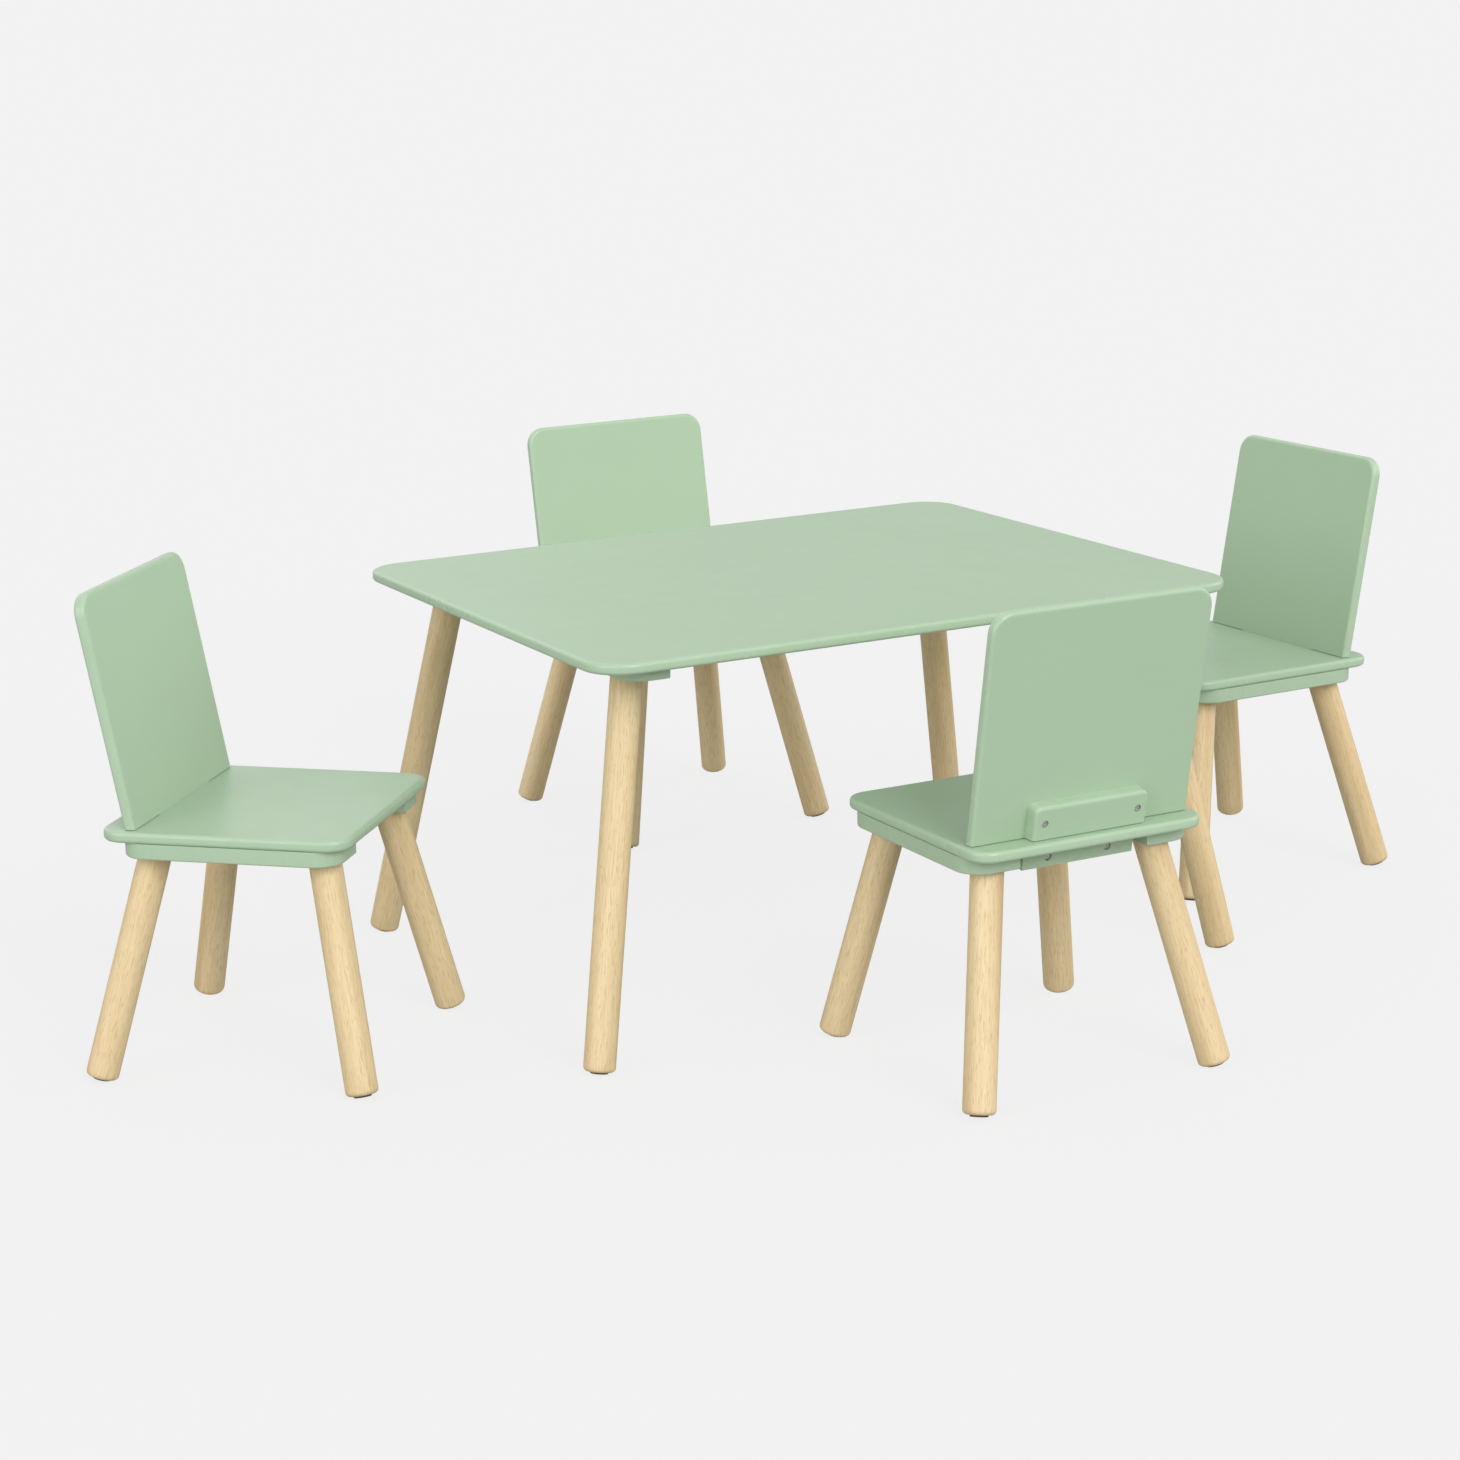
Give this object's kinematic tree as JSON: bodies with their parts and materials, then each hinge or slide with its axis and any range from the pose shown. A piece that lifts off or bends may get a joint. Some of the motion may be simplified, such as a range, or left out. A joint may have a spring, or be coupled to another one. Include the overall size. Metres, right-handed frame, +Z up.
{
  "type": "kids table and chairs",
  "caption": "Low children's play table with a rounded painted top on splayed round wooden legs, and matching small chairs with leaning painted backrests.",
  "frame": {"origin": "on the floor, in the middle of the footprint of the whole set", "axes": "+X along the table's long side, +Y across the table from chair_1 to chair_3, +Z up"},
  "size_m": [1.6566, 1.3704, 0.5142],
  "materials": {
    "table_paint": "satin sage green paint on fibreboard",
    "chair_paint": "satin sage green paint on fibreboard",
    "leg_wood": "clear matt lacquer on pale rubberwood",
    "screw_steel": "zinc plated",
    "pad_brown": "matt"
  },
  "bodies": {
    "table": {"table_top": "table_paint", "table_rail_left": "table_paint", "table_rail_right": "table_paint", "table_leg_front_left": "leg_wood", "table_leg_front_right": "leg_wood", "table_leg_rear_left": "leg_wood", "table_leg_rear_right": "leg_wood", "table_foot_pads": "pad_brown"},
    "chair_1": {"chair_1_seat": "chair_paint", "chair_1_backrest": "chair_paint", "chair_1_back_block": "chair_paint", "chair_1_tongue_cleat": "chair_paint", "chair_1_screws": "screw_steel", "chair_1_rail_left": "chair_paint", "chair_1_rail_right": "chair_paint", "chair_1_leg_front_left": "leg_wood", "chair_1_leg_front_right": "leg_wood", "chair_1_leg_rear_left": "leg_wood", "chair_1_leg_rear_right": "leg_wood", "chair_1_foot_pads": "pad_brown"},
    "chair_2": {"chair_2_seat": "chair_paint", "chair_2_backrest": "chair_paint", "chair_2_back_block": "chair_paint", "chair_2_tongue_cleat": "chair_paint", "chair_2_screws": "screw_steel", "chair_2_rail_left": "chair_paint", "chair_2_rail_right": "chair_paint", "chair_2_leg_front_left": "leg_wood", "chair_2_leg_front_right": "leg_wood", "chair_2_leg_rear_left": "leg_wood", "chair_2_leg_rear_right": "leg_wood", "chair_2_foot_pads": "pad_brown"},
    "chair_3": {"chair_3_seat": "chair_paint", "chair_3_backrest": "chair_paint", "chair_3_back_block": "chair_paint", "chair_3_tongue_cleat": "chair_paint", "chair_3_screws": "screw_steel", "chair_3_rail_left": "chair_paint", "chair_3_rail_right": "chair_paint", "chair_3_leg_front_left": "leg_wood", "chair_3_leg_front_right": "leg_wood", "chair_3_leg_rear_left": "leg_wood", "chair_3_leg_rear_right": "leg_wood", "chair_3_foot_pads": "pad_brown"},
    "chair_4": {"chair_4_seat": "chair_paint", "chair_4_backrest": "chair_paint", "chair_4_back_block": "chair_paint", "chair_4_tongue_cleat": "chair_paint", "chair_4_screws": "screw_steel", "chair_4_rail_left": "chair_paint", "chair_4_rail_right": "chair_paint", "chair_4_leg_front_left": "leg_wood", "chair_4_leg_front_right": "leg_wood", "chair_4_leg_rear_left": "leg_wood", "chair_4_leg_rear_right": "leg_wood", "chair_4_foot_pads": "pad_brown"}
  },
  "joints": [
    {"name": "chair_1_slide", "type": "slide", "parent": "table", "child": "chair_1", "axis": [0.0087, 1, 0], "range_m": [-0.12, 0.25]},
    {"name": "chair_2_slide", "type": "slide", "parent": "table", "child": "chair_2", "axis": [-0.9999, -0.014, 0], "range_m": [-0.12, 0.16]},
    {"name": "chair_3_slide", "type": "slide", "parent": "table", "child": "chair_3", "axis": [0.007, -1, 0], "range_m": [-0.12, 0.2]},
    {"name": "chair_4_slide", "type": "slide", "parent": "table", "child": "chair_4", "axis": [0.7431, -0.6691, 0], "range_m": [-0.12, 0.2]}
  ]
}
